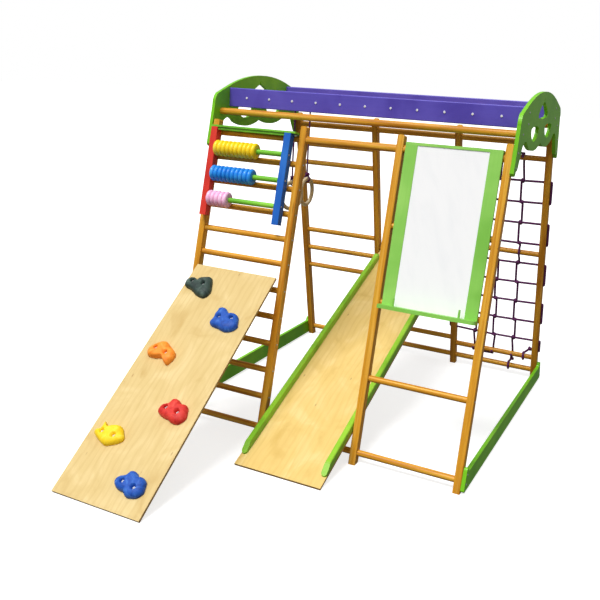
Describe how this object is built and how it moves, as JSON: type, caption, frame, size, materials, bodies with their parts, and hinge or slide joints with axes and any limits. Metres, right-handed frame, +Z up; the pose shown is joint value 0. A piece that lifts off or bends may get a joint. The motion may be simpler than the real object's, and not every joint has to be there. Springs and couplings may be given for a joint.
{
  "type": "toddler slide",
  "caption": "Indoor wooden climbing frame with a slide, climbing ramp with holds, ladders, overhead bars, hand rings, climbing net, bead abacus and whiteboard.",
  "frame": {"origin": "centre of the whole part's footprint, on the floor", "axes": "+X along the frame to the right, seen from the slide's foot; +Y from the slide's foot to the back of the frame; +Z up"},
  "size_m": [1.47, 2.378, 1.608],
  "materials": {
    "wood": "satin lacquer",
    "plate_green": "satin paint",
    "frame_green": "satin paint",
    "abacus_green": "satin paint",
    "purple": "satin paint",
    "rope": "twisted cord",
    "ply_ramp": "clear lacquer",
    "ply_slide": "clear lacquer",
    "rail_green": "satin paint",
    "steel": "zinc plated",
    "cap_white": "matte",
    "post_red": "satin paint",
    "post_blue": "satin paint",
    "bead_yellow": "gloss paint",
    "bead_blue": "gloss paint",
    "bead_pink": "gloss paint",
    "ring_wood": "clear lacquer",
    "hold_grey": "cast resin",
    "hold_blue": "cast resin",
    "hold_orange": "cast resin",
    "hold_red": "cast resin",
    "hold_yellow": "cast resin",
    "writing_white": "gloss"
  },
  "bodies": {
    "frame": {"post_front_1": "wood", "post_front_2": "wood", "post_front_3": "wood", "post_front_4": "wood", "post_rear_1": "wood", "post_rear_2": "wood", "post_rear_3": "wood", "post_rear_4": "wood", "end_plate_left": "plate_green", "end_plate_right": "plate_green", "base_rail_left": "plate_green", "base_rail_right": "plate_green", "top_bar_front": "wood", "top_bar_rear": "wood", "plank_front": "purple", "plank_rear": "purple", "monkey_rungs": "wood", "pull_up_bar": "wood", "rear_tie_bar": "wood", "rungs_front_left": "wood", "rungs_front_right": "wood", "rungs_rear_left": "wood", "rungs_rear_middle": "wood", "rungs_rear_right": "wood", "climbing_net": "rope", "rung_screws": "steel", "plank_screws": "cap_white", "frame_screws": "steel", "abacus_top": "abacus_green", "abacus_post_red": "post_red", "abacus_post_blue": "post_blue", "abacus_rods": "abacus_green", "abacus_screws": "steel"},
    "ramp": {"ramp_board": "ply_ramp", "ramp_hooks": "abacus_green", "hold_grey": "hold_grey", "hold_blue_upper": "hold_blue", "hold_orange": "hold_orange", "hold_red": "hold_red", "hold_yellow": "hold_yellow", "hold_blue_lower": "hold_blue", "hold_bolts": "steel"},
    "slide": {"slide_board": "ply_slide", "slide_rail_left": "rail_green", "slide_rail_right": "rail_green", "slide_hooks": "abacus_green"},
    "whiteboard": {"whiteboard_top": "frame_green", "whiteboard_stile_left": "frame_green", "whiteboard_stile_right": "frame_green", "whiteboard_panel": "writing_white", "whiteboard_tray": "frame_green"},
    "beads_yellow": {"beads_yellow": "bead_yellow"},
    "beads_blue": {"beads_blue": "bead_blue"},
    "beads_pink": {"beads_pink": "bead_pink"},
    "ring_front": {"ring_front": "ring_wood", "ring_cord_front": "rope"},
    "ring_rear": {"ring_rear": "ring_wood", "ring_cord_rear": "rope"}
  },
  "joints": [
    {"name": "ramp_lift", "type": "hinge", "parent": "frame", "child": "ramp", "pos_m": [-0.4695, -0.16718, 0.664], "axis": [-1, 0, 0], "range_deg": [0, 35]},
    {"name": "slide_lift", "type": "hinge", "parent": "frame", "child": "slide", "pos_m": [0.0115, 1.01725, 0.655], "axis": [-1, 0, 0], "range_deg": [0, 20]},
    {"name": "whiteboard_swing", "type": "hinge", "parent": "frame", "child": "whiteboard", "pos_m": [0.4715, -0.01019, 1.344], "axis": [-1, 0, 0], "range_deg": [0, 15]},
    {"name": "beads_yellow_slide", "type": "slide", "parent": "frame", "child": "beads_yellow", "axis": [1, 0, 0], "range_m": [0, 0.1295]},
    {"name": "beads_blue_slide", "type": "slide", "parent": "frame", "child": "beads_blue", "axis": [1, 0, 0], "range_m": [0, 0.1295]},
    {"name": "beads_pink_slide", "type": "slide", "parent": "frame", "child": "beads_pink", "axis": [1, 0, 0], "range_m": [0, 0.242]},
    {"name": "ring_front_swing", "type": "hinge", "parent": "frame", "child": "ring_front", "pos_m": [-0.496, 0.39899, 1.505], "axis": [0, 1, 0], "range_deg": [-35, 35]},
    {"name": "ring_rear_swing", "type": "hinge", "parent": "frame", "child": "ring_rear", "pos_m": [-0.496, 0.57099, 1.505], "axis": [0, 1, 0], "range_deg": [-35, 35]}
  ]
}
